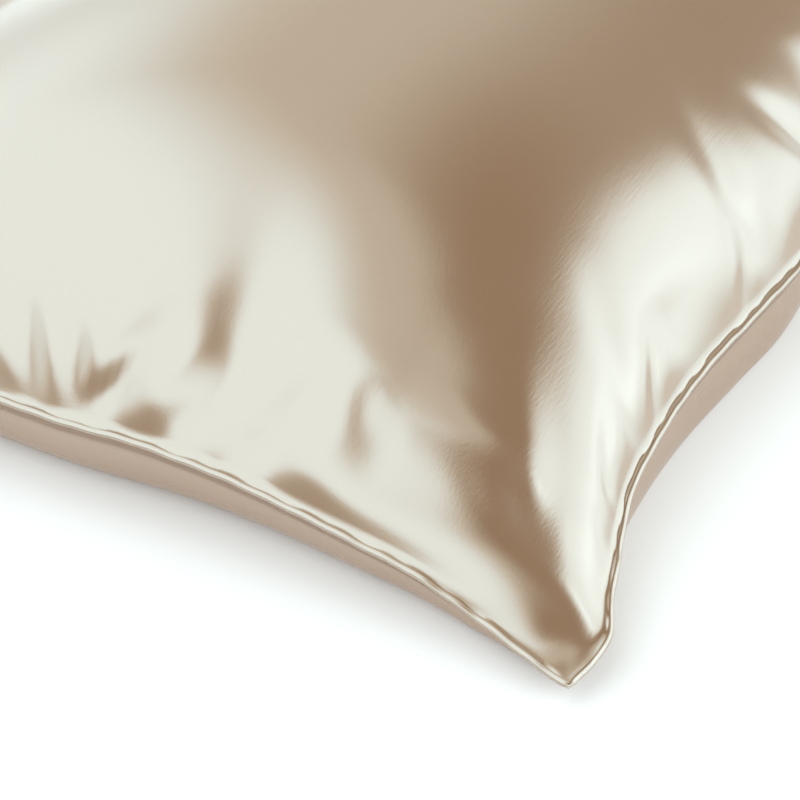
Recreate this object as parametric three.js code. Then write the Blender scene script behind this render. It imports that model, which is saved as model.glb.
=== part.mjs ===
// Pillowcase filled by a plump pillow, lying on its back panel.
// Millimetres, +Z up, long sides along X, the surface it lies on is z = 0.
// One closed solid: crown, drawn-in sewn sides, drooping corner ears, main folds,
// the two folded panel edges that meet along the seam, and the hemmed mouth at +X.
import * as THREE from 'three';

// ---- Overall sizes, corner tip to corner tip, as the filled case lies ----
const CASE_LENGTH = 735;
const CASE_WIDTH = 488;
const CROWN_RISE = 104;

// ---- Shape of the crown above the seam ----
const CROWN_REACH = 244;        // distance from a side at which the crown is level
const CROWN_FULLNESS = 2.1;
const CROWN_SHARPNESS = 0.74;   // under 1 stands the cloth up steeply from the seam
const EDGE_ROUNDING = 3.5;
const EAR_ROUNDING = 12;        // more rounding at a corner, where the ears lie flatter
const EAR_REACH = 46;
const CORNER_RIDGE = 0.5;       // nearer 0 keeps more of a ridge from each corner

// ---- Shape of the underside ----
const TUCK_SQUARENESS = 2.4;
const UNDERSIDE_STEPS = [0.05, 0.18, 0.4, 0.7, 1];

// ---- Seam edge: two folded panel edges that meet in a narrow groove ----
const SEAM = {
  proud: 2.6,                   // stands out from the body
  half: 1.3,                    // half thickness, both panels
  gap: 0.25,                    // half opening of the groove
  groove: 1.2,                  // depth of the groove
};

// ---- Mouth of the case at +X: two hemmed lips lying together ----
const MOUTH = {
  proud: 3,
  half: 2.6,
  gap: 1,
  groove: 14,
  blend: 30,                    // length over which the seam turns into the mouth
  hem: 50,                      // depth of the hem
  hemStep: 0.8,                 // rise of the hem over the single cloth
  hemRun: 1.5,                  // run of that rise
};

// ---- Mesh ----
const CELLS_LONG = 66;
const CELLS_WIDE = 44;
const EDGE_DENSITY = 0.55;      // 0 for even cells, nearer 1 for finer cells by the edge
const SLOPE_STEP = 0.004;       // step for measuring the slope of the cloth
const LEAST_RISE = 1e-6;        // keeps the power mean finite on the seam itself

const COLOUR_SATIN = 0xd8ccb4;
const ROUGHNESS_SATIN = 0.38;

// ---- How each side runs ----
// along: distance from the side's first corner. drawn: how far the seam is drawn in from
// the straight line between the corner tips. height: seam above the surface. tuck: how far
// the cloth below the seam curls in before it lies on the surface.
// The near side and the closed end start from the near closed corner; the far side starts
// from the far closed corner; the mouth side starts from the near mouth corner.
const NEAR_SIDE = [
  { along: 0, drawn: 0, height: 10.5, tuck: 36 },
  { along: 14, drawn: -3.4, height: 13, tuck: 27 },
  { along: 26, drawn: -4.2, height: 16.4, tuck: 18 },
  { along: 42, drawn: 2.5, height: 20.7, tuck: 9 },
  { along: 56, drawn: 6.5, height: 24, tuck: 6 },
  { along: 69, drawn: 10.8, height: 27, tuck: 5 },
  { along: 94, drawn: 17, height: 33.3, tuck: 5 },
  { along: 130, drawn: 19.2, height: 38.5, tuck: 6 },
  { along: 171, drawn: 18.8, height: 41, tuck: 6 },
  { along: 220, drawn: 14, height: 42.2, tuck: 6 },
  { along: 264, drawn: 10.3, height: 42.2, tuck: 5 },
  { along: 330, drawn: 12, height: 42, tuck: 8 },
  { along: 430, drawn: 16, height: 42, tuck: 14 },
  { along: 540, drawn: 18, height: 40, tuck: 20 },
  { along: 620, drawn: 15, height: 35, tuck: 22 },
  { along: 680, drawn: 8, height: 24, tuck: 24 },
  { along: 715, drawn: 3, height: 16, tuck: 30 },
  { along: 735, drawn: 0, height: 12, tuck: 36 },
];
const CLOSED_END = [
  { along: 0, drawn: 0, height: 10.5, tuck: 36 },
  { along: 11, drawn: 2, height: 12.6, tuck: 30 },
  { along: 22.5, drawn: 4.2, height: 15, tuck: 23 },
  { along: 42, drawn: 8.4, height: 19.7, tuck: 17 },
  { along: 61, drawn: 10.8, height: 24.8, tuck: 21 },
  { along: 80, drawn: 12.6, height: 29, tuck: 25 },
  { along: 106, drawn: 13.6, height: 33, tuck: 28 },
  { along: 153, drawn: 16, height: 38.5, tuck: 32 },
  { along: 199, drawn: 16, height: 41.7, tuck: 32 },
  { along: 247, drawn: 13, height: 42, tuck: 31 },
  { along: 290, drawn: 14, height: 41.5, tuck: 30 },
  { along: 350, drawn: 16, height: 38, tuck: 28 },
  { along: 405, drawn: 12, height: 30, tuck: 25 },
  { along: 440, drawn: 7, height: 22, tuck: 25 },
  { along: 468, drawn: 2, height: 15, tuck: 30 },
  { along: 488, drawn: 0, height: 12, tuck: 36 },
];
const FAR_SIDE = [
  { along: 0, drawn: 0, height: 12, tuck: 36 },
  { along: 30, drawn: 3, height: 17, tuck: 28 },
  { along: 60, drawn: 9, height: 26, tuck: 25 },
  { along: 110, drawn: 15, height: 36, tuck: 26 },
  { along: 180, drawn: 19, height: 41, tuck: 30 },
  { along: 300, drawn: 17, height: 42, tuck: 28 },
  { along: 420, drawn: 20, height: 42, tuck: 30 },
  { along: 540, drawn: 17, height: 41, tuck: 28 },
  { along: 630, drawn: 14, height: 34, tuck: 25 },
  { along: 680, drawn: 8, height: 24, tuck: 24 },
  { along: 710, drawn: 3, height: 16, tuck: 30 },
  { along: 735, drawn: 0, height: 12, tuck: 36 },
];
const MOUTH_SIDE = [
  { along: 0, drawn: 0, height: 12, tuck: 36 },
  { along: 20, drawn: 2, height: 15, tuck: 30 },
  { along: 45, drawn: 7, height: 21, tuck: 25 },
  { along: 80, drawn: 12, height: 29, tuck: 25 },
  { along: 130, drawn: 16, height: 37, tuck: 28 },
  { along: 200, drawn: 17, height: 41, tuck: 30 },
  { along: 280, drawn: 18, height: 41, tuck: 30 },
  { along: 350, drawn: 16, height: 37, tuck: 28 },
  { along: 405, drawn: 12, height: 30, tuck: 25 },
  { along: 440, drawn: 7, height: 22, tuck: 25 },
  { along: 468, drawn: 2, height: 15, tuck: 30 },
  { along: 488, drawn: 0, height: 12, tuck: 36 },
];

// ---- Main folds in the top panel ----
// long and wide are measured in the flat panel from the near closed corner: long runs
// along the near side, wide along the closed end. A fold runs from its first point to its
// second, and widens and dies out on the way. half: half its width. depth: a trough is
// positive, a ridge negative. flank: width of one side of the fold over the other's.
// open: whether it is already at full depth at its first point.
const FOLDS = [
  // the closed end
  { long: 2, wide: 228, toLong: 50, toWide: 201, half: 9, depth: 4.2, flank: 1.2, open: true },
  { long: 2, wide: 238, toLong: 44, toWide: 266, half: 9, depth: 2.4, flank: 0.8, open: true },
  { long: 2, wide: 258, toLong: 44, toWide: 296, half: 9, depth: 2.4, flank: 0.8, open: true },
  { long: 2, wide: 188, toLong: 44, toWide: 172, half: 12, depth: 3.0, flank: 1.2, open: true },
  { long: -12, wide: 174, toLong: 130, toWide: 181, half: 22, depth: 5.8, flank: 1.2, open: false },
  { long: 2, wide: 158, toLong: 58, toWide: 124, half: 11, depth: 3.8, flank: 1.2, open: true },
  { long: 23, wide: 136, toLong: 16, toWide: 100, half: 9, depth: 0.9, flank: 1, open: false },
  { long: 30, wide: 104, toLong: 100, toWide: 90, half: 12, depth: 0.8, flank: 1.4, open: false },
  { long: 7, wide: 330, toLong: 52, toWide: 316, half: 12, depth: 2.8, flank: 1, open: true },
  { long: 8, wide: 392, toLong: 76, toWide: 358, half: 14, depth: 3.2, flank: 1, open: true },
  { long: 27, wide: 140, toLong: 24, toWide: 44, half: 14, depth: 2, flank: 1, open: false },
  // the near closed corner
  { long: 28, wide: 35, toLong: 118, toWide: 72, half: 44, depth: -3.6, flank: 0.4, open: false },
  // the near side
  { long: 112, wide: 8, toLong: 160, toWide: 60, half: 8, depth: 1.0, flank: 1, open: true },
  { long: 140, wide: 17, toLong: 222, toWide: 11, half: 10, depth: 2.6, flank: 1.2, open: false },
  { long: 222, wide: 15, toLong: 276, toWide: 12, half: 9, depth: 2.0, flank: 1.2, open: false },
  { long: 246, wide: 28, toLong: 288, toWide: 96, half: 12, depth: 1.8, flank: 1, open: true },
  { long: 324, wide: 8, toLong: 300, toWide: 62, half: 9, depth: 1.8, flank: 1, open: true },
  { long: 350, wide: 5, toLong: 372, toWide: 52, half: 13, depth: 2.6, flank: 1, open: true },
  { long: 410, wide: 5, toLong: 404, toWide: 54, half: 13, depth: 3, flank: 1, open: true },
  { long: 480, wide: 5, toLong: 458, toWide: 46, half: 12, depth: 2.4, flank: 1, open: true },
  { long: 560, wide: 5, toLong: 522, toWide: 52, half: 13, depth: 2.8, flank: 1, open: true },
  { long: 640, wide: 8, toLong: 590, toWide: 72, half: 15, depth: 3.2, flank: 1, open: true },
  // the far side
  { long: 96, wide: 482, toLong: 140, toWide: 422, half: 14, depth: 3.2, flank: 1, open: true },
  { long: 190, wide: 483, toLong: 210, toWide: 430, half: 13, depth: 2.8, flank: 1, open: true },
  { long: 290, wide: 483, toLong: 280, toWide: 436, half: 12, depth: 2.6, flank: 1, open: true },
  { long: 392, wide: 483, toLong: 405, toWide: 428, half: 13, depth: 3, flank: 1, open: true },
  { long: 500, wide: 483, toLong: 482, toWide: 434, half: 12, depth: 2.6, flank: 1, open: true },
  { long: 610, wide: 480, toLong: 570, toWide: 418, half: 15, depth: 3.2, flank: 1, open: true },
  // the other three corners
  { long: 24, wide: 455, toLong: 112, toWide: 420, half: 22, depth: -2, flank: 0.6, open: false },
  { long: 711, wide: 33, toLong: 623, toWide: 68, half: 22, depth: -2, flank: 0.6, open: false },
  { long: 711, wide: 455, toLong: 623, toWide: 420, half: 22, depth: -2, flank: 0.6, open: false },
  // the mouth
  { long: 728, wide: 150, toLong: 662, toWide: 176, half: 14, depth: 2.6, flank: 1, open: true },
  { long: 728, wide: 250, toLong: 656, toWide: 246, half: 15, depth: 2.8, flank: 1, open: true },
  { long: 728, wide: 344, toLong: 666, toWide: 318, half: 14, depth: 2.6, flank: 1, open: true },
];
const FOLD_FADE = 6;            // folds die out over this distance from the seam
const FOLD_TAPER = 0.8;         // share of a fold's run over which it dies out
const FOLD_START = 0.4;         // share over which one that isn't open begins
const FOLD_WIDTHS = [0.75, 1.3];  // width at the first point and at the second

// ---------------------------------------------------------------------------------------

// Value of one column of a side's table, on a smooth curve through its rows.
function alongSide(table, column, distance) {
  let row = 0;
  while (row < table.length - 2 && table[row + 1].along < distance) {
    row += 1;
  }
  const slopeAt = (index) => {
    const before = table[Math.max(index - 1, 0)];
    const after = table[Math.min(index + 1, table.length - 1)];
    return (after[column] - before[column]) / (after.along - before.along);
  };
  const first = table[row];
  const second = table[row + 1];
  const span = second.along - first.along;
  const t = (distance - first.along) / span;
  const hold = t * t * (3 - 2 * t);
  const leave = t * (1 - t) * (1 - t) * span * slopeAt(row);
  const arrive = t * t * (t - 1) * span * slopeAt(row + 1);
  return first[column] * (1 - hold) + second[column] * hold + leave + arrive;
}

// Distances of a point of the panel from its four sides. u and v run from -1 to 1.
function sideDistances(u, v) {
  return {
    closed: (1 + u) * CASE_LENGTH / 2,
    mouth: (1 - u) * CASE_LENGTH / 2,
    near: (1 + v) * CASE_WIDTH / 2,
    far: (1 - v) * CASE_WIDTH / 2,
  };
}

// A value given on each side, spread smoothly over the panel.
function spread(values, distances) {
  const nearest = 0.01;
  let sum = 0;
  let weights = 0;
  for (const side of Object.keys(values)) {
    const weight = 1 / (distances[side] + nearest) ** 2;
    sum += weight * values[side];
    weights += weight;
  }
  return sum / weights;
}

// One column of the four sides' tables, spread over the panel.
function fromSides(column, at) {
  const values = {
    near: alongSide(NEAR_SIDE, column, at.closed),
    far: alongSide(FAR_SIDE, column, at.closed),
    closed: alongSide(CLOSED_END, column, at.near),
    mouth: alongSide(MOUTH_SIDE, column, at.near),
  };
  return spread(values, at);
}

// Point of the surface that holds the seam: plan position and seam height.
function seamSurface(u, v) {
  const at = sideDistances(u, v);
  const nearDrawn = alongSide(NEAR_SIDE, 'drawn', at.closed);
  const farDrawn = alongSide(FAR_SIDE, 'drawn', at.closed);
  const closedDrawn = alongSide(CLOSED_END, 'drawn', at.near);
  const mouthDrawn = alongSide(MOUTH_SIDE, 'drawn', at.near);
  const x = u * CASE_LENGTH / 2 + closedDrawn * (1 - u) / 2 - mouthDrawn * (1 + u) / 2;
  const y = v * CASE_WIDTH / 2 + nearDrawn * (1 - v) / 2 - farDrawn * (1 + v) / 2;
  return new THREE.Vector3(x, y, fromSides('height', at));
}

// How near a point is to the sides, from 1 on a side to 0 inside the given reaches.
function nearness(u, v, reachLong, reachWide, squareness) {
  const fromEnd = (1 - Math.abs(u)) * CASE_LENGTH / 2;
  const fromSide = (1 - Math.abs(v)) * CASE_WIDTH / 2;
  const long = Math.max(1 - fromEnd / reachLong, 0);
  const wide = Math.max(1 - fromSide / reachWide, 0);
  return (long ** squareness + wide ** squareness) ** (1 / squareness);
}

function edgeDistance(u, v) {
  return Math.min(...Object.values(sideDistances(u, v)));
}

// How far the crown has risen at a distance from a side, from 0 to 1.
function risen(distance, rounding) {
  const slack = THREE.MathUtils.clamp(1 - distance / CROWN_REACH, 0, 1);
  const rounded = 1 - Math.exp(-distance / rounding);
  return (1 - slack ** CROWN_FULLNESS) ** CROWN_SHARPNESS * rounded;
}

// Top panel without its folds. The two ways of rising meet in a power mean, which leaves a
// soft ridge from each corner tip up to the crown.
function smoothTop(u, v) {
  const point = seamSurface(u, v);
  const fromEnd = (1 - Math.abs(u)) * CASE_LENGTH / 2;
  const fromSide = (1 - Math.abs(v)) * CASE_WIDTH / 2;
  const ear = Math.exp(-(fromEnd ** 2 + fromSide ** 2) / EAR_REACH ** 2);
  const rounding = EDGE_ROUNDING + EAR_ROUNDING * ear;
  const fromBoth = [risen(fromEnd, rounding), risen(fromSide, rounding)];
  const powers = fromBoth.map((value) => Math.max(value, LEAST_RISE) ** -CORNER_RIDGE);
  const mean = (powers[0] + powers[1] - 1) ** (-1 / CORNER_RIDGE);
  point.z += SEAM.half + CROWN_RISE * mean;
  return point;
}

function smoothStep(value) {
  const t = THREE.MathUtils.clamp(value, 0, 1);
  return t * t * (3 - 2 * t);
}

// Depth of one fold at a point of the flat panel.
function trough(long, wide, fold) {
  const runLong = fold.toLong - fold.long;
  const runWide = fold.toWide - fold.wide;
  const run = Math.hypot(runLong, runWide);
  const offLong = long - fold.long;
  const offWide = wide - fold.wide;
  const t = (offLong * runLong + offWide * runWide) / (run * run);
  const across = (offLong * runWide - offWide * runLong) / run;
  const [narrow, broad] = FOLD_WIDTHS;
  const side = across > 0 ? fold.flank : 1;
  const width = fold.half * side * (narrow + (broad - narrow) * THREE.MathUtils.clamp(t, 0, 1));
  const before = Math.exp(-((Math.min(t, 0) * run / fold.half) ** 2));
  const start = fold.open ? before : smoothStep(t / FOLD_START);
  const taper = start * smoothStep((1 - t) / FOLD_TAPER);
  return fold.depth * taper * Math.exp(-((across / width) ** 2));
}

// Depth of all folds together.
function foldDepth(long, wide) {
  return FOLDS.reduce((depth, fold) => depth + trough(long, wide, fold), 0);
}

// Top panel with its folds and the raised hem by the mouth.
function topPanel(u, v) {
  const point = smoothTop(u, v);
  const inner = THREE.MathUtils.clamp(u, SLOPE_STEP - 1, 1 - SLOPE_STEP);
  const middle = THREE.MathUtils.clamp(v, SLOPE_STEP - 1, 1 - SLOPE_STEP);
  const alongU = smoothTop(inner + SLOPE_STEP, middle).sub(smoothTop(inner - SLOPE_STEP, middle));
  const alongV = smoothTop(inner, middle + SLOPE_STEP).sub(smoothTop(inner, middle - SLOPE_STEP));
  const normal = alongU.cross(alongV).normalize();
  const at = sideDistances(u, v);
  const fade = 1 - Math.exp(-((edgeDistance(u, v) / FOLD_FADE) ** 2));
  const hem = MOUTH.hemStep * smoothStep((MOUTH.hem - at.mouth) / MOUTH.hemRun + 1);
  const rise = (hem - foldDepth(at.closed, at.near)) * fade;
  return point.addScaledVector(normal, rise);
}

// Parameter values of the mesh lines from one side to the other, finer by the sides.
function meshLines(cells) {
  const lines = [];
  for (let index = 0; index <= cells; index += 1) {
    const even = 1 - Math.abs(2 * index / cells - 1);
    const inward = even * (1 - EDGE_DENSITY) + even * even * EDGE_DENSITY;
    lines.push(Math.sign(2 * index - cells) * (1 - inward));
  }
  return lines;
}

// Mesh lines along the length, with one on each edge of the hem's step.
function meshLinesWithHem() {
  const hemTop = 1 - 2 * MOUTH.hem / CASE_LENGTH;
  const hemFoot = 1 - 2 * (MOUTH.hem + MOUTH.hemRun) / CASE_LENGTH;
  const lines = meshLines(CELLS_LONG);
  const clear = MOUTH.hemRun * 2 / CASE_LENGTH;
  const kept = lines.filter((u) => u < hemFoot - clear || u > hemTop + clear);
  return [...kept, hemFoot, hemTop].sort((a, b) => a - b);
}

// Places of the mesh round the outline, anticlockwise from the near closed corner.
function outlinePlaces(linesLong, linesWide) {
  const lastLong = linesLong.length - 1;
  const lastWide = linesWide.length - 1;
  const places = [];
  for (let i = 0; i < lastLong; i += 1) {
    places.push({ i, j: 0 });
  }
  for (let j = 0; j < lastWide; j += 1) {
    places.push({ i: lastLong, j });
  }
  for (let i = lastLong; i > 0; i -= 1) {
    places.push({ i, j: lastWide });
  }
  for (let j = lastWide; j > 0; j -= 1) {
    places.push({ i: 0, j });
  }
  return places;
}

// How far a place on the outline belongs to the open mouth: 1 there, 0 on sewn sides.
function mouthShare(u, v) {
  const at = sideDistances(u, v);
  const fromCorner = Math.min(at.near, at.far) / MOUTH.blend;
  const onMouth = at.mouth < 1 ? 1 : 0;
  return onMouth * smoothStep(fromCorner);
}

// Collects points and triangles of one closed mesh.
class MeshMaker {
  constructor() {
    this.points = [];
    this.faces = [];
  }

  add(point) {
    this.points.push(point.x, point.y, point.z);
    return this.points.length / 3 - 1;
  }

  quad(a, b, c, d) {
    this.faces.push(a, b, c, a, c, d);
  }

  // Joins two closed rings of the same number of points.
  band(ring, next) {
    for (let index = 0; index < ring.length; index += 1) {
      const after = (index + 1) % ring.length;
      this.quad(ring[index], next[index], next[after], ring[after]);
    }
  }
}

// One ring of the seam edge, offset outward in plan and up or down from the seam.
function edgeRing(maker, outline, outwardOf, liftOf) {
  return outline.map((place) => {
    const point = place.seam.clone();
    point.addScaledVector(place.outward, outwardOf(place));
    point.z += liftOf(place);
    return maker.add(point);
  });
}

// Adds the seam edge: the upper panel edge, the groove and the lower panel edge.
function addSeamEdge(maker, outline, topRing) {
  const mix = (name) => (place) => SEAM[name] + (MOUTH[name] - SEAM[name]) * place.mouth;
  const proud = mix('proud');
  const gap = mix('gap');
  const groove = mix('groove');
  const lip = mix('half');
  const grooveFoot = (place) => proud(place) - groove(place);
  const body = () => 0;
  const rings = [
    topRing,
    edgeRing(maker, outline, proud, lip),
    edgeRing(maker, outline, proud, gap),
    edgeRing(maker, outline, grooveFoot, body),
    edgeRing(maker, outline, proud, (place) => -gap(place)),
    edgeRing(maker, outline, proud, (place) => -lip(place)),
    edgeRing(maker, outline, body, () => -SEAM.half),
  ];
  for (let index = 0; index + 1 < rings.length; index += 1) {
    maker.band(rings[index], rings[index + 1]);
  }
  return rings[rings.length - 1];
}

// Adds the underside: it curls in below the seam and then lies flat on the surface.
function addUnderside(maker, outline, startRing) {
  let ring = startRing;
  for (const step of UNDERSIDE_STEPS) {
    const next = outline.map(({ u, v }) => {
      const tuck = fromSides('tuck', sideDistances(u, v));
      const innerU = u * (1 - 2 * step * tuck / CASE_LENGTH);
      const innerV = v * (1 - 2 * step * tuck / CASE_WIDTH);
      const point = seamSurface(innerU, innerV);
      const near = Math.min(nearness(innerU, innerV, tuck, tuck, TUCK_SQUARENESS), 1);
      const dropped = Math.sqrt(1 - near * near);
      point.z = step === 1 ? 0 : (point.z - SEAM.half) * (1 - dropped);
      return maker.add(point);
    });
    maker.band(ring, next);
    ring = next;
  }
  const contour = ring.map((index) => {
    return new THREE.Vector2(maker.points[3 * index], maker.points[3 * index + 1]);
  });
  for (const [a, b, c] of THREE.ShapeUtils.triangulateShape(contour, [])) {
    maker.faces.push(ring[a], ring[c], ring[b]);
  }
}

// The whole filled case as one closed mesh.
function filledCase() {
  const maker = new MeshMaker();
  const linesLong = meshLinesWithHem();
  const linesWide = meshLines(CELLS_WIDE);
  const grid = linesLong.map((u) => linesWide.map((v) => maker.add(topPanel(u, v))));
  for (let i = 0; i + 1 < linesLong.length; i += 1) {
    for (let j = 0; j + 1 < linesWide.length; j += 1) {
      maker.quad(grid[i][j], grid[i + 1][j], grid[i + 1][j + 1], grid[i][j + 1]);
    }
  }
  const outline = outlinePlaces(linesLong, linesWide).map(({ i, j }) => {
    const u = linesLong[i];
    const v = linesWide[j];
    return { u, v, corner: grid[i][j], seam: seamSurface(u, v), mouth: mouthShare(u, v) };
  });
  outline.forEach((place, index) => {
    const before = outline[(index + outline.length - 1) % outline.length].seam;
    const after = outline[(index + 1) % outline.length].seam;
    place.outward = new THREE.Vector3(after.y - before.y, before.x - after.x, 0).normalize();
  });
  const lowRing = addSeamEdge(maker, outline, outline.map((place) => place.corner));
  addUnderside(maker, outline, lowRing);
  return maker;
}

function toGeometry(maker) {
  const geometry = new THREE.BufferGeometry();
  geometry.setAttribute('position', new THREE.Float32BufferAttribute(maker.points, 3));
  geometry.setIndex(maker.faces);
  geometry.computeBoundingBox();
  const centre = geometry.boundingBox.getCenter(new THREE.Vector3());
  geometry.translate(-centre.x, -centre.y, 0);
  geometry.computeVertexNormals();
  return geometry;
}

const satin = new THREE.MeshStandardMaterial({
  color: COLOUR_SATIN,
  roughness: ROUGHNESS_SATIN,
  metalness: 0,
});
const filledCaseMesh = new THREE.Mesh(toGeometry(filledCase()), satin);
filledCaseMesh.name = 'filled_case';

const group = new THREE.Group();
group.name = 'pillowcase';
group.add(filledCaseMesh);

export default group;
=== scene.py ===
# %% [markdown]
# # A satin pillowcase on a plump pillow
# A pillowcase is two panels of cloth, sewn together on three sides and hemmed at the
# fourth, its mouth. On a full pillow the middle rises into a crown, the long seams are
# pulled in, and the corners stay behind as thin drooping ears. Satin hides none of that:
# it mirrors the lights softly, so every small trough in the cloth shows as a dark streak.
# This lesson builds the cloth as one closed mesh from a few tables, dresses it in a satin
# made of nodes, and lights it with a painted dome.

# %% The frame
import math

import bpy
import numpy as np
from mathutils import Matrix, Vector


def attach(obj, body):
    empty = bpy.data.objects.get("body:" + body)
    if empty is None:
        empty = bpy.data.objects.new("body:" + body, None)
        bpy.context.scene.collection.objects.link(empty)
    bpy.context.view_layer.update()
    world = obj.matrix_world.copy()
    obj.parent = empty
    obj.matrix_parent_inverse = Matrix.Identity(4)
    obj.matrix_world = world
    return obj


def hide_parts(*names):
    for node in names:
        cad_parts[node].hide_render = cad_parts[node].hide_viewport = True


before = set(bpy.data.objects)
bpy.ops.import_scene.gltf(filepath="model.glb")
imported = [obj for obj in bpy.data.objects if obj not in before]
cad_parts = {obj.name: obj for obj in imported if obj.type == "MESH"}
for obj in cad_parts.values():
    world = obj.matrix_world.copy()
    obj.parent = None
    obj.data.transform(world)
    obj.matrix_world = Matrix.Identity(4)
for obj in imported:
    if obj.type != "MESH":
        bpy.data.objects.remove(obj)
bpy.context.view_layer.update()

CASE_NODE = "filled_case"

# %% [markdown]
# ## Camera
# The camera stands off the near closed corner and looks down along the long side. A long
# lens a little over a metre away keeps the seams nearly straight. Its place is given by
# the point it looks at, two angles and a distance, which is easier to read and to change
# than three coordinates and a rotation.

# %% The camera
LOOK_AT = Vector((-0.2735, -0.1176, 0.040))
LOOK_AZIMUTH = math.radians(-62)
LOOK_ELEVATION = math.radians(38)
LOOK_DISTANCE = 1.1064
LENS_MM = 117
FARTHEST_SEEN = 100

scene = bpy.context.scene
camera = bpy.data.objects.new("camera", bpy.data.cameras.new("camera"))
scene.collection.objects.link(camera)
scene.camera = camera
away = Vector((
    math.sin(LOOK_AZIMUTH) * math.cos(LOOK_ELEVATION),
    -math.cos(LOOK_AZIMUTH) * math.cos(LOOK_ELEVATION),
    math.sin(LOOK_ELEVATION),
))
camera.location = LOOK_AT + away * LOOK_DISTANCE
camera.rotation_euler = (-away).to_track_quat("-Z", "Y").to_euler()
camera.data.lens = LENS_MM
camera.data.clip_end = FARTHEST_SEEN
scene.view_settings.view_transform = "Standard"
print("the camera is", round(camera.location.z, 3), "m above the surface")

# %% [markdown]
# ## How the sides run
# Each side of the case gets a short table. A row says, at some distance along the side,
# how far the seam is drawn in, how high it lies, and how far the cloth below it tucks
# under. Everything between the rows comes from one smooth curve through them. A table
# beats a formula here because no two sides of real cloth run alike.

# %% Tables of the four sides, in millimetres
MM = 0.001
CASE_LENGTH = 735
CASE_WIDTH = 488
COLUMNS = ("along", "drawn", "height", "tuck")
RUNS_ALONG = {"near": "closed", "far": "closed", "closed": "near", "mouth": "near"}
LEAST_DISTANCE = 0.01


def side(*rows):
    return dict(zip(COLUMNS, np.array(rows, dtype=float).T))


SIDES = {
    "near": side(
        (0, 0, 10.5, 36), (14, -3.4, 13, 27), (26, -4.2, 16.4, 18), (42, 2.5, 20.7, 9),
        (56, 6.5, 24, 6), (69, 10.8, 27, 5), (94, 17, 33.3, 5), (130, 19.2, 38.5, 6),
        (171, 18.8, 41, 6), (220, 14, 42.2, 6), (264, 10.3, 42.2, 5), (330, 12, 42, 8),
        (430, 16, 42, 14), (540, 18, 40, 20), (620, 15, 35, 22), (680, 8, 24, 24),
        (715, 3, 16, 30), (735, 0, 12, 36),
    ),
    "closed": side(
        (0, 0, 10.5, 36), (11, 2, 12.6, 30), (22.5, 4.2, 15, 23), (42, 8.4, 19.7, 17),
        (61, 10.8, 24.8, 21), (80, 12.6, 29, 25), (106, 13.6, 33, 28), (153, 16, 38.5, 32),
        (199, 16, 41.7, 32), (247, 13, 42, 31), (290, 14, 41.5, 30), (350, 16, 38, 28),
        (405, 12, 30, 25), (440, 7, 22, 25), (468, 2, 15, 30), (488, 0, 12, 36),
    ),
    "far": side(
        (0, 0, 12, 36), (30, 3, 17, 28), (60, 9, 26, 25), (110, 15, 36, 26),
        (180, 19, 41, 30), (300, 17, 42, 28), (420, 20, 42, 30), (540, 17, 41, 28),
        (630, 14, 34, 25), (680, 8, 24, 24), (710, 3, 16, 30), (735, 0, 12, 36),
    ),
    "mouth": side(
        (0, 0, 12, 36), (20, 2, 15, 30), (45, 7, 21, 25), (80, 12, 29, 25),
        (130, 16, 37, 28), (200, 17, 41, 30), (280, 18, 41, 30), (350, 16, 37, 28),
        (405, 12, 30, 25), (440, 7, 22, 25), (468, 2, 15, 30), (488, 0, 12, 36),
    ),
}
print("rows in the tables:", {name: len(rows["along"]) for name, rows in SIDES.items()})


# %% A smooth curve through a table
def along_side(name, column, distance):
    """One column of a side's table at the distances asked for."""
    table = SIDES[name]
    xs, ys = table["along"], table[column]
    slopes = np.empty_like(ys)
    slopes[1:-1] = (ys[2:] - ys[:-2]) / (xs[2:] - xs[:-2])
    slopes[0] = (ys[1] - ys[0]) / (xs[1] - xs[0])
    slopes[-1] = (ys[-1] - ys[-2]) / (xs[-1] - xs[-2])
    row = np.clip(np.searchsorted(xs, distance) - 1, 0, len(xs) - 2)
    span = xs[row + 1] - xs[row]
    t = (distance - xs[row]) / span
    hold = t * t * (3 - 2 * t)
    leave = t * (1 - t) ** 2 * span * slopes[row]
    arrive = t * t * (t - 1) * span * slopes[row + 1]
    return ys[row] * (1 - hold) + ys[row + 1] * hold + leave + arrive


def distances(u, v):
    """Distances of a point of the panel from its four sides; u and v run from -1 to 1."""
    return {
        "closed": (1 + u) * CASE_LENGTH / 2,
        "mouth": (1 - u) * CASE_LENGTH / 2,
        "near": (1 + v) * CASE_WIDTH / 2,
        "far": (1 - v) * CASE_WIDTH / 2,
    }


def spread(column, at):
    """A column of the four tables spread smoothly over the panel."""
    total, weights = 0, 0
    for name, measured_from in RUNS_ALONG.items():
        weight = 1 / (at[name] + LEAST_DISTANCE) ** 2
        total = total + weight * along_side(name, column, at[measured_from])
        weights = weights + weight
    return total / weights


print("seam height in the middle of the closed end:",
      round(float(along_side("closed", "height", CASE_WIDTH / 2)), 1), "mm")

# %% [markdown]
# ## The crown
# A tensioned cover over a soft filling rises steeply beside the seam and levels out in
# the middle. A power curve of the distance from a side draws that: its exponents set how
# full and how steep it is. The rise from the ends and the rise from the long sides meet in
# a power mean, which leaves a soft ridge from each corner up to the crown, as stretched
# cloth has. By a corner tip the rise is rounded more, so that the ear lies flat. A cloth
# simulation would give a crown too, but then the folds would fall where the solver likes,
# and here each one has its own place.

# %% Surfaces of the smooth case
# millimetres, but for the exponents and the corner ridge, which have no unit
CROWN_RISE = 104
CROWN_REACH = 244
CROWN_FULLNESS = 2.1
CROWN_SHARPNESS = 0.74
CORNER_RIDGE = 0.5
EDGE_ROUNDING = 3.5
EAR_ROUNDING = 12
EAR_REACH = 46
LEAST_RISE = 1e-6
PANEL_HALF = 1.3
TUCK_SQUARENESS = 2.4


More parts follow.
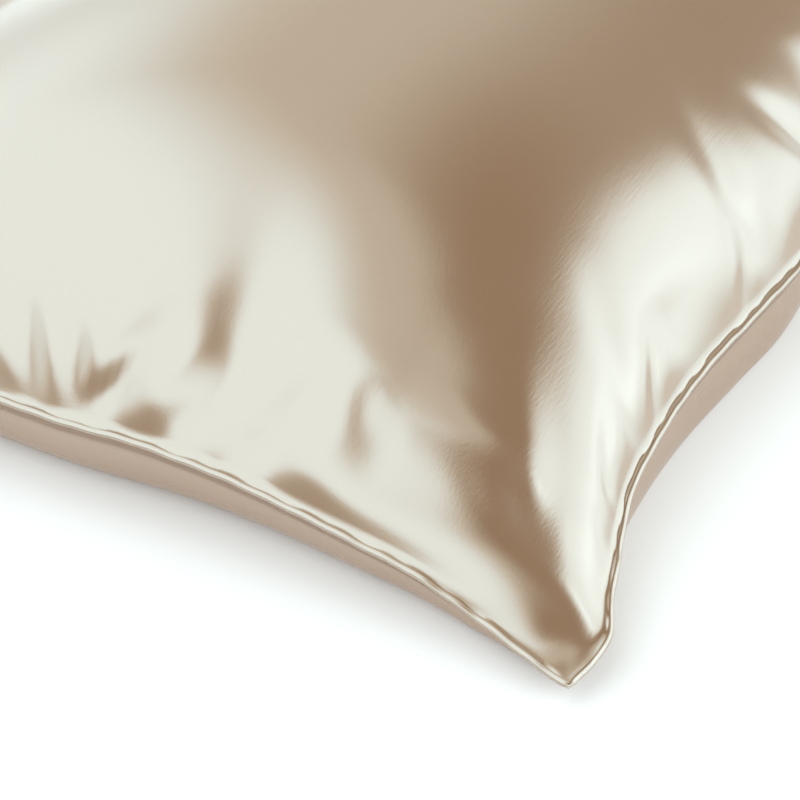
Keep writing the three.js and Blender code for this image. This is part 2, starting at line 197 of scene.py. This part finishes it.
def seam_surface(u, v):
    """The curved sheet that holds all four seams, as x, y and z."""
    at = distances(u, v)
    drawn = {n: along_side(n, "drawn", at[m]) for n, m in RUNS_ALONG.items()}
    x = u * CASE_LENGTH / 2 + drawn["closed"] * (1 - u) / 2 - drawn["mouth"] * (1 + u) / 2
    y = v * CASE_WIDTH / 2 + drawn["near"] * (1 - v) / 2 - drawn["far"] * (1 + v) / 2
    return x, y, spread("height", at)


def nearness(u, v, reach, squareness):
    """1 on a side, 0 further in than the reach."""
    long = np.clip(1 - (1 - np.abs(u)) * CASE_LENGTH / 2 / reach, 0, None)
    wide = np.clip(1 - (1 - np.abs(v)) * CASE_WIDTH / 2 / reach, 0, None)
    return (long ** squareness + wide ** squareness) ** (1 / squareness)


def edge_distance(u, v):
    """Distance to the nearest side."""
    return np.minimum.reduce(list(distances(u, v).values()))


def risen(distance, rounding):
    """How far the crown has risen at a distance from a side, from 0 to 1."""
    slack = np.clip(1 - distance / CROWN_REACH, 0, 1)
    rounded = 1 - np.exp(-distance / rounding)
    return (1 - slack ** CROWN_FULLNESS) ** CROWN_SHARPNESS * rounded


def smooth_top(u, v):
    """The top panel before it has folds."""
    x, y, z = seam_surface(u, v)
    from_end = (1 - np.abs(u)) * CASE_LENGTH / 2
    from_side = (1 - np.abs(v)) * CASE_WIDTH / 2
    ear = np.exp(-(from_end ** 2 + from_side ** 2) / EAR_REACH ** 2)
    rounding = EDGE_ROUNDING + EAR_ROUNDING * ear
    both = np.stack([risen(from_end, rounding), risen(from_side, rounding)])
    powers = np.maximum(both, LEAST_RISE) ** -CORNER_RIDGE
    z = z + PANEL_HALF + CROWN_RISE * (powers.sum(axis=0) - 1) ** (-1 / CORNER_RIDGE)
    return np.stack([x, y, z], axis=-1)


crown = smooth_top(np.zeros(1), np.zeros(1))[0]
print("the crown is", round(float(crown[2]), 1), "mm high")

# %% [markdown]
# ## Folds
# Where a curved cover is gathered by its seam, the spare cloth lies in soft troughs that
# start at the seam and die out on the crown. Each row below is one of them: where it
# starts and ends on the flat panel, how wide and deep it is, how wide one flank is beside
# the other, and whether it is at its full depth where it starts. A negative depth is a
# ridge. Troughs placed one by one can lie exactly where the cloth has them.

# %% Tables of folds, in millimetres on the flat panel
FOLD_COLUMNS = ("long", "wide", "to_long", "to_wide", "half", "depth", "flank", "open")
FOLD_ROWS = [
    # the closed end
    (2, 228, 50, 201, 9, 4.2, 1.2, 1),
    (2, 238, 44, 266, 9, 2.4, 0.8, 1),
    (2, 258, 44, 296, 9, 2.4, 0.8, 1),
    (2, 188, 44, 172, 12, 3.0, 1.2, 1),
    (-12, 174, 130, 181, 22, 5.8, 1.2, 0),
    (2, 158, 58, 124, 11, 3.8, 1.2, 1),
    (40, 128, 30, 96, 12, 0.9, 1, 0),
    (30, 104, 100, 90, 12, 0.8, 1.4, 0),
    (7, 330, 52, 316, 12, 2.8, 1, 1),
    (8, 392, 76, 358, 14, 3.2, 1, 1),
    (25, 142, 22, 40, 15, 3.4, 1, 0),
    # the near closed corner
    (28, 35, 118, 72, 44, -3.6, 0.4, 0),
    # the near side
    (112, 8, 160, 60, 8, 1.0, 1, 1),
    (80, 8, 132, 27, 4.5, 0.8, 1, 1),
    (126, 0, 166, 24, 4, 1.4, 0.6, 1),
    (140, 17, 222, 11, 10, 2.6, 1.2, 0),
    (212, 0, 240, 16, 4, 1.4, 0.6, 1),
    (222, 15, 276, 12, 9, 2.0, 1.2, 0),
    (246, 28, 288, 96, 12, 1.8, 1, 1),
    (324, 8, 300, 62, 9, 1.8, 1, 1),
    (350, 5, 372, 52, 13, 2.6, 1, 1),
    (410, 5, 404, 54, 13, 3, 1, 1),
    (480, 5, 458, 46, 12, 2.4, 1, 1),
    (560, 5, 522, 52, 13, 2.8, 1, 1),
    (640, 8, 590, 72, 15, 3.2, 1, 1),
    # the far side
    (96, 482, 140, 422, 14, 3.2, 1, 1),
    (190, 483, 210, 430, 13, 2.8, 1, 1),
    (290, 483, 280, 436, 12, 2.6, 1, 1),
    (392, 483, 405, 428, 13, 3, 1, 1),
    (500, 483, 482, 434, 12, 2.6, 1, 1),
    (610, 480, 570, 418, 15, 3.2, 1, 1),
    # the other three corners
    (24, 455, 112, 420, 22, -2, 0.6, 0),
    (711, 33, 623, 68, 22, -2, 0.6, 0),
    (711, 455, 623, 420, 22, -2, 0.6, 0),
    # the mouth
    (728, 150, 662, 176, 14, 2.6, 1, 1),
    (728, 250, 656, 246, 15, 2.8, 1, 1),
    (728, 344, 666, 318, 14, 2.6, 1, 1),
]
FOLD_FADE = 6
FOLD_TAPER = 0.8
FOLD_START = 0.4
FOLD_WIDTHS = (0.75, 1.3)
FOLDS = [dict(zip(FOLD_COLUMNS, row)) for row in FOLD_ROWS]
print(len(FOLDS), "folds in the top panel")


def smooth_step(value):
    """0 below 0, 1 above 1, smooth between."""
    t = np.clip(value, 0, 1)
    return t * t * (3 - 2 * t)


def trough(long, wide, fold):
    """Depth of one fold at points of the flat panel. It widens and dies out as it runs."""
    run_long = fold["to_long"] - fold["long"]
    run_wide = fold["to_wide"] - fold["wide"]
    run = math.hypot(run_long, run_wide)
    off_long = long - fold["long"]
    off_wide = wide - fold["wide"]
    t = (off_long * run_long + off_wide * run_wide) / run ** 2
    across = (off_long * run_wide - off_wide * run_long) / run
    narrow, broad = FOLD_WIDTHS
    width = fold["half"] * (narrow + (broad - narrow) * np.clip(t, 0, 1))
    width = width * np.where(across > 0, fold["flank"], 1)
    start = np.exp(-(np.minimum(t, 0) * run / fold["half"]) ** 2)
    if not fold["open"]:
        start = smooth_step(t / FOLD_START)
    taper = start * smooth_step((1 - t) / FOLD_TAPER)
    return fold["depth"] * taper * np.exp(-(across / width) ** 2)


def fold_depth(long, wide):
    """Depth of all folds together."""
    return sum(trough(long, wide, fold) for fold in FOLDS)


# %% The hem and the finished top panel
HEM_DEPTH = 50
HEM_STEP = 0.8
HEM_RUN = 1.5
SLOPE_STEP = 0.004
LEAST_LENGTH = 1e-9


def unit(vectors):
    """The same directions, each of length 1."""
    lengths = np.linalg.norm(vectors, axis=-1, keepdims=True)
    return vectors / np.maximum(lengths, LEAST_LENGTH)


def top_normal(u, v):
    """The way out of the smooth top panel, from its slopes either way."""
    inner = np.clip(u, SLOPE_STEP - 1, 1 - SLOPE_STEP)
    middle = np.clip(v, SLOPE_STEP - 1, 1 - SLOPE_STEP)
    along_u = smooth_top(inner + SLOPE_STEP, middle) - smooth_top(inner - SLOPE_STEP, middle)
    along_v = smooth_top(inner, middle + SLOPE_STEP) - smooth_top(inner, middle - SLOPE_STEP)
    return unit(np.cross(along_u, along_v))


def top_panel(u, v):
    """The top panel with its folds and its hem."""
    at = distances(u, v)
    fade = 1 - np.exp(-(edge_distance(u, v) / FOLD_FADE) ** 2)
    hem = HEM_STEP * smooth_step((HEM_DEPTH - at["mouth"]) / HEM_RUN + 1)
    rise = (hem - fold_depth(at["closed"], at["near"])) * fade
    return smooth_top(u, v) + top_normal(u, v) * rise[..., None]


hem_line = 1 - 2 * HEM_DEPTH / CASE_LENGTH
hem_height = top_panel(np.array([hem_line]), np.zeros(1))[0, 2]
print("the hem begins", round(float(hem_height), 1), "mm up on the crown")

# %% [markdown]
# ## One closed mesh
# The case is made of two panels, but it is modelled as one skin, because its panels meet in
# the seam all round. The top panel is a grid of quads, finer beside the seams, where the
# cloth bends most. Its outline is kept as a list of grid places: every ring of the edge
# and of the underside is built from that list, and so has the same number of points.

# %% Grid lines and outline
CELLS_LONG = 280
CELLS_WIDE = 190
EDGE_DENSITY = 0.45


def grid_lines(cells):
    """Places of the grid lines from -1 to 1, closer together by the sides."""
    even = 1 - np.abs(np.linspace(-1, 1, cells + 1))
    inward = even * (1 - EDGE_DENSITY) + even ** 2 * EDGE_DENSITY
    return np.sign(np.linspace(-1, 1, cells + 1)) * (1 - inward)


lines_u = grid_lines(CELLS_LONG)
lines_v = grid_lines(CELLS_WIDE)
last_u, last_v = len(lines_u) - 1, len(lines_v) - 1
outline = (
    [(i, 0) for i in range(last_u)]
    + [(last_u, j) for j in range(last_v)]
    + [(i, last_v) for i in range(last_u, 0, -1)]
    + [(0, j) for j in range(last_v, 0, -1)]
)
outline_u = np.array([lines_u[i] for i, _ in outline])
outline_v = np.array([lines_v[j] for _, j in outline])
print(len(outline), "points round the outline")

# %% The seam line, its outward direction and its length
seam_points = np.stack(seam_surface(outline_u, outline_v), axis=-1)
step = np.roll(seam_points, -1, axis=0) - np.roll(seam_points, 1, axis=0)
outward = unit(np.stack([step[:, 1], -step[:, 0], np.zeros(len(step))], axis=-1))
gaps = np.linalg.norm(seam_points - np.roll(seam_points, 1, axis=0), axis=1)
seam_run = np.cumsum(gaps)
print("the seam and mouth run", round(float(seam_run[-1]) * MM, 2), "m round the case")


# %% [markdown]
# ## The seam edge and the mouth
# A case is sewn inside out and then turned, so its seam shows as two folded panel edges
# that lie together, with a fine gap between. The sewing gathers them a little, which is
# why the edge wavers. At the mouth nothing holds the hems together, so there the same
# rings of points open into two thicker lips. Each row gives one ring: how far out and how
# high it lies along the seam, and then along the mouth.

# %% Sections of the seam edge and of the mouth
EDGE_COLUMNS = ("out", "lift", "mouth_out", "mouth_lift")
EDGE_ROWS = [
    # upper panel's rolled edge, from the top round to the gap
    (0.3, 1.35, 0.4, 2.6), (0.8, 1.3, 1.2, 2.85), (1.4, 1.05, 2, 2.8), (2, 0.68, 2.7, 2.5),
    (2.45, 0.34, 3, 2), (2.5, 0.16, 2.9, 1.4), (2.1, 0.08, 2.6, 1.05),
    # the gap between the panels
    (1.2, 0.05, -11, 0.1),
    # the back panel's edge
    (2.1, -0.22, 2.6, -1.05), (2.45, -0.45, 2.9, -1.4), (2.5, -0.85, 3, -2),
    (2, -1.2, 2.4, -2.6), (1.2, -1.35, 1.4, -2.8), (0.4, -1.2, 0.5, -2.4),
]
MOUTH_BLEND = 30
PUCKER = 0.4
PUCKER_PERIODS = (18.5, 47)


def mouth_share(u, v):
    """1 along the mouth and 0 along the seam, with a blend at the mouth's two corners."""
    at = distances(u, v)
    from_corner = np.minimum(at["near"], at["far"])
    return np.where(at["mouth"] < 1, smooth_step(from_corner / MOUTH_BLEND), 0)


mouth = mouth_share(outline_u, outline_v)
waves = [np.sin(2 * math.pi * seam_run / period) for period in PUCKER_PERIODS]
pucker = PUCKER * (waves[0] + waves[1]) / 2 * (1 - mouth)
edge_rings = []
for row in EDGE_ROWS:
    part = dict(zip(EDGE_COLUMNS, row))
    out = part["out"] + (part["mouth_out"] - part["out"]) * mouth
    lift = part["lift"] + (part["mouth_lift"] - part["lift"]) * mouth
    ring = seam_points + outward * out[:, None]
    ring[:, 2] += lift + pucker
    edge_rings.append(ring)
print(len(edge_rings), "rings make the edge")

# %% [markdown]
# ## The underside
# Below the seam the cloth curls in under the weight of the pillow and then lies flat. Ring
# after ring follows that curl, each a step further in, and the rest close the flat part.

# %% Underside rings
WALL_STEPS = [0.02, 0.06, 0.12, 0.2, 0.3, 0.42, 0.55, 0.7, 0.85, 1]
FLOOR_STEPS = [0.93, 0.82, 0.68, 0.52, 0.36, 0.2, 0.08]
tuck = spread("tuck", distances(outline_u, outline_v))
under_rings = []
for amount in WALL_STEPS:
    u = outline_u * (1 - 2 * amount * tuck / CASE_LENGTH)
    v = outline_v * (1 - 2 * amount * tuck / CASE_WIDTH)
    x, y, z = seam_surface(u, v)
    near = np.minimum(nearness(u, v, tuck, TUCK_SQUARENESS), 1)
    low = (z - PANEL_HALF) * (1 - np.sqrt(1 - near ** 2))
    under_rings.append(np.stack([x, y, np.where(amount == 1, 0, low)], axis=-1))
centre = under_rings[-1].mean(axis=0)
for amount in FLOOR_STEPS:
    under_rings.append(centre + (under_rings[len(WALL_STEPS) - 1] - centre) * amount)
print(len(under_rings), "rings make the underside")

# %% [markdown]
# ## Joining it all
# The grid, the rings of the edge and the rings below it have the same number of points
# round the outline, so that each ring joins the next in one band of quads. A fan round
# one middle point closes the base. A closed mesh has an inside, so it can be weighed.

# %% Joining it all
OUTER_RING = 4


def closed_mesh(name, grid, rings, centre_point):
    """A grid on top, bands of quads round it, and a fan that closes it below."""
    rows, columns = grid.shape[:2]
    index = np.arange(rows * columns).reshape(rows, columns)
    faces = np.stack([index[:-1, :-1], index[1:, :-1], index[1:, 1:], index[:-1, 1:]], axis=-1)
    quads = [faces.reshape(-1, 4)]
    ring = np.array([index[i, j] for i, j in outline])
    points = [grid.reshape(-1, 3)]
    count = rows * columns
    for place in rings:
        following = np.arange(count, count + len(place))
        count += len(place)
        points.append(place)
        band = [ring, following, np.roll(following, -1), np.roll(ring, -1)]
        quads.append(np.stack(band, axis=-1))
        ring = following
    points.append(centre_point[None])
    fan = [(int(a), count, int(b)) for a, b in zip(ring, np.roll(ring, -1))]
    mesh = bpy.data.meshes.new(name)
    vertices = np.concatenate(points)
    mesh.from_pydata(vertices.tolist(), [], np.concatenate(quads).tolist() + fan)
    mesh.validate()
    mesh.polygons.foreach_set("use_smooth", [True] * len(mesh.polygons))
    made = bpy.data.objects.new(name, mesh)
    scene.collection.objects.link(made)
    return made


grid_u, grid_v = np.meshgrid(lines_u, lines_v, indexing="ij")
top_grid = top_panel(grid_u, grid_v)
outer = edge_rings[OUTER_RING]
middle = (outer.min(axis=0) + outer.max(axis=0)) / 2
shift = np.array([-middle[0], -middle[1], 0])


def to_frame(points):
    """Millimetres about the case's own corner tips, as metres about the frame's origin."""
    return (points + shift) * MM


cloth = closed_mesh(
    "satin_case",
    to_frame(top_grid),
    [to_frame(ring) for ring in edge_rings + under_rings],
    to_frame(centre),
)
print("the cloth has", sum(len(p.vertices) - 2 for p in cloth.data.polygons), "triangles")

# %% [markdown]
# ## A small helper for shader maths
# Materials are built from nodes, and a long chain of nodes is hard to read when each one
# is made and linked by hand. The class below wraps an output socket so that nodes can be
# added, multiplied and mixed as ordinary expressions.

# %% The helper class
MIX_FACTOR, MIX_A, MIX_B, MIX_RESULT = 0, 6, 7, 2


class Wire:
    """An output socket in a node tree that can be used in sums."""

    def __init__(self, tree, socket=None):
        self.tree = tree
        self.socket = socket

    def node(self, kind, settings=None, inputs=None, output=0):
        """Adds a node: its settings first, then its sockets' values or links."""
        made = self.tree.nodes.new(kind)
        for name, value in (settings or {}).items():
            setattr(made, name, value)
        for name, value in (inputs or {}).items():
            if isinstance(value, Wire):
                self.tree.links.new(value.socket, made.inputs[name])
            else:
                made.inputs[name].default_value = value
        return Wire(self.tree, made.outputs[output])

    def maths(self, operation, *values):
        """A sum of up to three values."""
        return self.node("ShaderNodeMath", {"operation": operation}, dict(enumerate(values)))

    def scaled(self, factors):
        """This vector times another, axis by axis."""
        return self.node(
            "ShaderNodeVectorMath", {"operation": "MULTIPLY"}, {0: self, 1: factors}
        )

    def mix(self, first, second):
        """A colour between two, with this value as the factor."""
        return self.node(
            "ShaderNodeMix",
            {"data_type": "RGBA"},
            {MIX_FACTOR: self, MIX_A: first, MIX_B: second},
            MIX_RESULT,
        )

    def noise(self, scale, detail):
        """Noise with this vector as its place."""
        return self.node(
            "ShaderNodeTexNoise", None, {"Vector": self, "Scale": scale, "Detail": detail}
        )

    def __add__(self, other):
        return self.maths("ADD", self, other)

    __radd__ = __add__

    def __sub__(self, other):
        return self.maths("SUBTRACT", self, other)

    def __rsub__(self, other):
        return self.maths("SUBTRACT", other, self)

    def __mul__(self, other):
        return self.maths("MULTIPLY", self, other)

    __rmul__ = __mul__


def new_material(name):
    """A material with nodes on, its tree to build in, and its main shader."""
    material = bpy.data.materials.new(name)
    material.use_nodes = True
    return material, Wire(material.node_tree), material.node_tree.nodes["Principled BSDF"]


def linear(red, green, blue):
    """A colour given as 0 to 255 on the screen, as the linear one that shaders use."""
    parts = [value / 255 for value in (red, green, blue)]
    return tuple(p / 12.92 if p <= 0.04045 else ((p + 0.055) / 1.055) ** 2.4 for p in parts)


print("mid grey is", round(linear(128, 128, 128)[0], 3), "in linear light")

# %% [markdown]
# ## Satin
# In a satin weave each thread floats over four or more others, so the face is nearly all
# smooth parallel thread. It reflects like a soft mirror, whitish in the lights and warm
# where it mirrors the dark of the room. A fairly smooth shader with a strong reflection
# over a warm base gives that, and a slightly warm tint in the gloss stands for the dyed
# thread. Very fine streaks along the threads vary the colour and the bump a little, as
# uneven threads do.

# %% The satin material
SATIN_LIGHT = linear(149, 110, 83)
SATIN_DEEP = linear(142, 104, 78)
SATIN_ROUGHNESS = 0.14
SATIN_IOR = 3.2
SATIN_GLOSS_TINT = (1, 0.97, 0.89, 1)
THREAD_STRETCH = (14, 900, 900)
THREAD_BUMP = 0.00002
THREAD_SCALE = 1
PATCH_SCALE = 9
NOISE_DETAIL = 3
ROUGHNESS_SPREAD = 0.04

satin, tree, shader = new_material("champagne_satin")
place = tree.node("ShaderNodeTexCoord", output="Object")
threads = place.scaled(THREAD_STRETCH).noise(THREAD_SCALE, NOISE_DETAIL)
patches = place.noise(PATCH_SCALE, NOISE_DETAIL)
tone = (threads * 0.5 + patches * 0.5).mix((*SATIN_DEEP, 1), (*SATIN_LIGHT, 1))
rough = SATIN_ROUGHNESS + (patches - 0.5) * ROUGHNESS_SPREAD
bump = threads.node(
    "ShaderNodeBump", None, {"Height": threads, "Distance": THREAD_BUMP, "Strength": 1}
)
satin.node_tree.links.new(tone.socket, shader.inputs["Base Color"])
satin.node_tree.links.new(rough.socket, shader.inputs["Roughness"])
satin.node_tree.links.new(bump.socket, shader.inputs["Normal"])
shader.inputs["IOR"].default_value = SATIN_IOR
shader.inputs["Specular Tint"].default_value = SATIN_GLOSS_TINT
cloth.data.materials.append(satin)
print("the satin has", len(satin.node_tree.nodes), "nodes")

# %% [markdown]
# ## Floor
# The case lies on a plain white sheet of paper that runs out of sight. A little glow in
# the paper keeps it white where the lights are weak, and still lets a soft shadow show.

# %% The floor
FLOOR_SIZE = 40
PAPER_WHITE = (0.805, 0.715, 0.68, 1)
PAPER_ROUGHNESS = 0.9
PAPER_GLOW = 0.08

floor_mesh = bpy.data.meshes.new("floor")
reach = FLOOR_SIZE / 2
corners = [(-reach, -reach, 0), (reach, -reach, 0), (reach, reach, 0), (-reach, reach, 0)]
floor_mesh.from_pydata(corners, [], [(0, 1, 2, 3)])
floor = bpy.data.objects.new("floor", floor_mesh)
scene.collection.objects.link(floor)
paper, _, paper_shader = new_material("white_paper")
paper_shader.inputs["Base Color"].default_value = PAPER_WHITE
paper_shader.inputs["Roughness"].default_value = PAPER_ROUGHNESS
paper_shader.inputs["Emission Color"].default_value = (1, 1, 1, 1)
paper_shader.inputs["Emission Strength"].default_value = PAPER_GLOW
floor_mesh.materials.append(paper)
print("the floor is", FLOOR_SIZE, "m across")

# %% [markdown]
# ## Light
# The satin mirrors whatever stands round it, so the light is a painted dome: one level of
# white for each direction. It is a grey room with three white walls, a low glow past the
# mouth, and a dim strip overhead between the walls. Lamps would light the cloth as well,
# but it is the dim strip that decides where the brown bands lie on the crown, and the
# strip is easiest to shape when it is painted.

# %% What stands round the case
ROOM_COLOUR = (0.93, 1.0, 0.92, 1)
WALL_COLOUR = (0.82, 1.02, 1.09, 1)
COLOUR_TURN = (0.30, 0.60)
WHITE_LEVEL = 2.15

# The room is dimmer near the floor. A pair says where a change begins and over what run.
ROOM_LEVEL = 0.40
ROOM_LOW = 0.36
ROOM_FOOT = (0.20, 0.40)

# A wall: the way it lies, where it begins and over what run, how bright it is, how high
# up it begins and over what run.
END_WALL = ((-0.8, 0.6, 0), -0.13, 0.46, 0.64, 0.34, 0.22)
FAR_WALL = ((0, 1, 0), 0.30, 0.64, 0.72, -0.4, 0.4)
SIDE_WALL = ((0, -1, 0), 0.33, 0.18, 1.05, -0.15, 0.6)

# The near side's wall is cut short high up beyond the closed end.
SIDE_WALL_FROM = (-0.15, 0.30)
SIDE_WALL_OVER = (0.55, 0.25)

LOW_GLOW = 0.6
LOW_GLOW_FROM = (0.45, 0.35)
LOW_GLOW_UNDER = (0.05, 0.35)

# The strip: its way across, half its width, how that widens towards the mouth and towards
# the closed end, where it begins, where it fades and how much is left there, and how high
# it begins.
STRIP_ACROSS = (0.16, 1, 0.33)
STRIP_HALF = 0.11
STRIP_WIDENING = 0.26
STRIP_WIDENS = (0.02, 0.32)
CLOSED_WIDENING = 0.14
CLOSED_WIDENS = (0.0, 0.25)
STRIP_FROM = (-0.80, 0.60)
STRIP_FADE = (0.35, 0.45)
STRIP_LEFT = 0.7
STRIP_ABOVE = (0.10, 0.45)
print("the dim strip is", 2 * STRIP_HALF, "wide where it is narrowest")


# %% The painted dome
def along(direction, axis):
    """How far a direction goes along an axis, as a value."""
    kind = {"operation": "DOT_PRODUCT"}
    return direction.node("ShaderNodeVectorMath", kind, {0: direction, 1: axis}, "Value")


def rising(value, start, run):
    """0 below the start, 1 past the run, smooth between."""
    limits = {"Value": value, "From Min": start, "From Max": start + run}
    return value.node("ShaderNodeMapRange", {"interpolation_type": "SMOOTHERSTEP"}, limits)


world = bpy.data.worlds.new("studio")
scene.world = world
world.use_nodes = True
direction = Wire(world.node_tree).node("ShaderNodeTexCoord", output="Generated")
up = along(direction, (0, 0, 1))
to_mouth = along(direction, (1, 0, 0))
to_closed_end = along(direction, (-1, 0, 0))


def white_wall(axis, start, run, strength, foot, foot_run):
    """The level that a white wall adds in each direction."""
    return rising(along(direction, axis), start, run) * strength * rising(up, foot, foot_run)


level = ROOM_LEVEL * (ROOM_LOW + rising(up, *ROOM_FOOT) * (1 - ROOM_LOW))
level = level + level.maths("MAXIMUM", white_wall(*END_WALL), white_wall(*FAR_WALL))
glow = rising(to_mouth, *LOW_GLOW_FROM) * LOW_GLOW
level = level + glow * (1 - rising(up, *LOW_GLOW_UNDER))
print("the room, two walls and the glow take", len(world.node_tree.nodes), "nodes")

# %% [markdown]
# ## The dim strip and the near wall
# The strip takes light away from what is there so far. It is level across its width and
# falls off quickly at its edges, so the brown bands on the cloth have a flat dark core and
# a soft rim. The near side's wall comes after it, as its light isn't dimmed.

# %% The strip and the near wall
across = along(direction, Vector(STRIP_ACROSS).normalized())
half = rising(to_mouth, *STRIP_WIDENS) * STRIP_WIDENING + STRIP_HALF
half = rising(to_closed_end, *CLOSED_WIDENS) * CLOSED_WIDENING + half
share = across.maths("DIVIDE", across, half)
squared = share * share
strip = squared.maths("EXPONENT", squared * squared * -1)
strip = strip * (1 - rising(to_mouth, *STRIP_FADE) * (1 - STRIP_LEFT))
strip = strip * rising(to_mouth, *STRIP_FROM) * rising(up, *STRIP_ABOVE)
cut = (1 - rising(to_mouth, *SIDE_WALL_FROM)) * rising(up, *SIDE_WALL_OVER)
level = level * (1 - strip) + white_wall(*SIDE_WALL) * (1 - cut)
colour = rising(level, *COLOUR_TURN).mix(ROOM_COLOUR, WALL_COLOUR)
strength = level * WHITE_LEVEL
background = world.node_tree.nodes["Background"]
world.node_tree.links.new(colour.socket, background.inputs["Color"])
world.node_tree.links.new(strength.socket, background.inputs["Strength"])
print("the whole dome takes", len(world.node_tree.nodes), "nodes")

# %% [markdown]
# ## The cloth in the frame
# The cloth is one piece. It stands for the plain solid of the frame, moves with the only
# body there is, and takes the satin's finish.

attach(cloth, "root")
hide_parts(CASE_NODE)
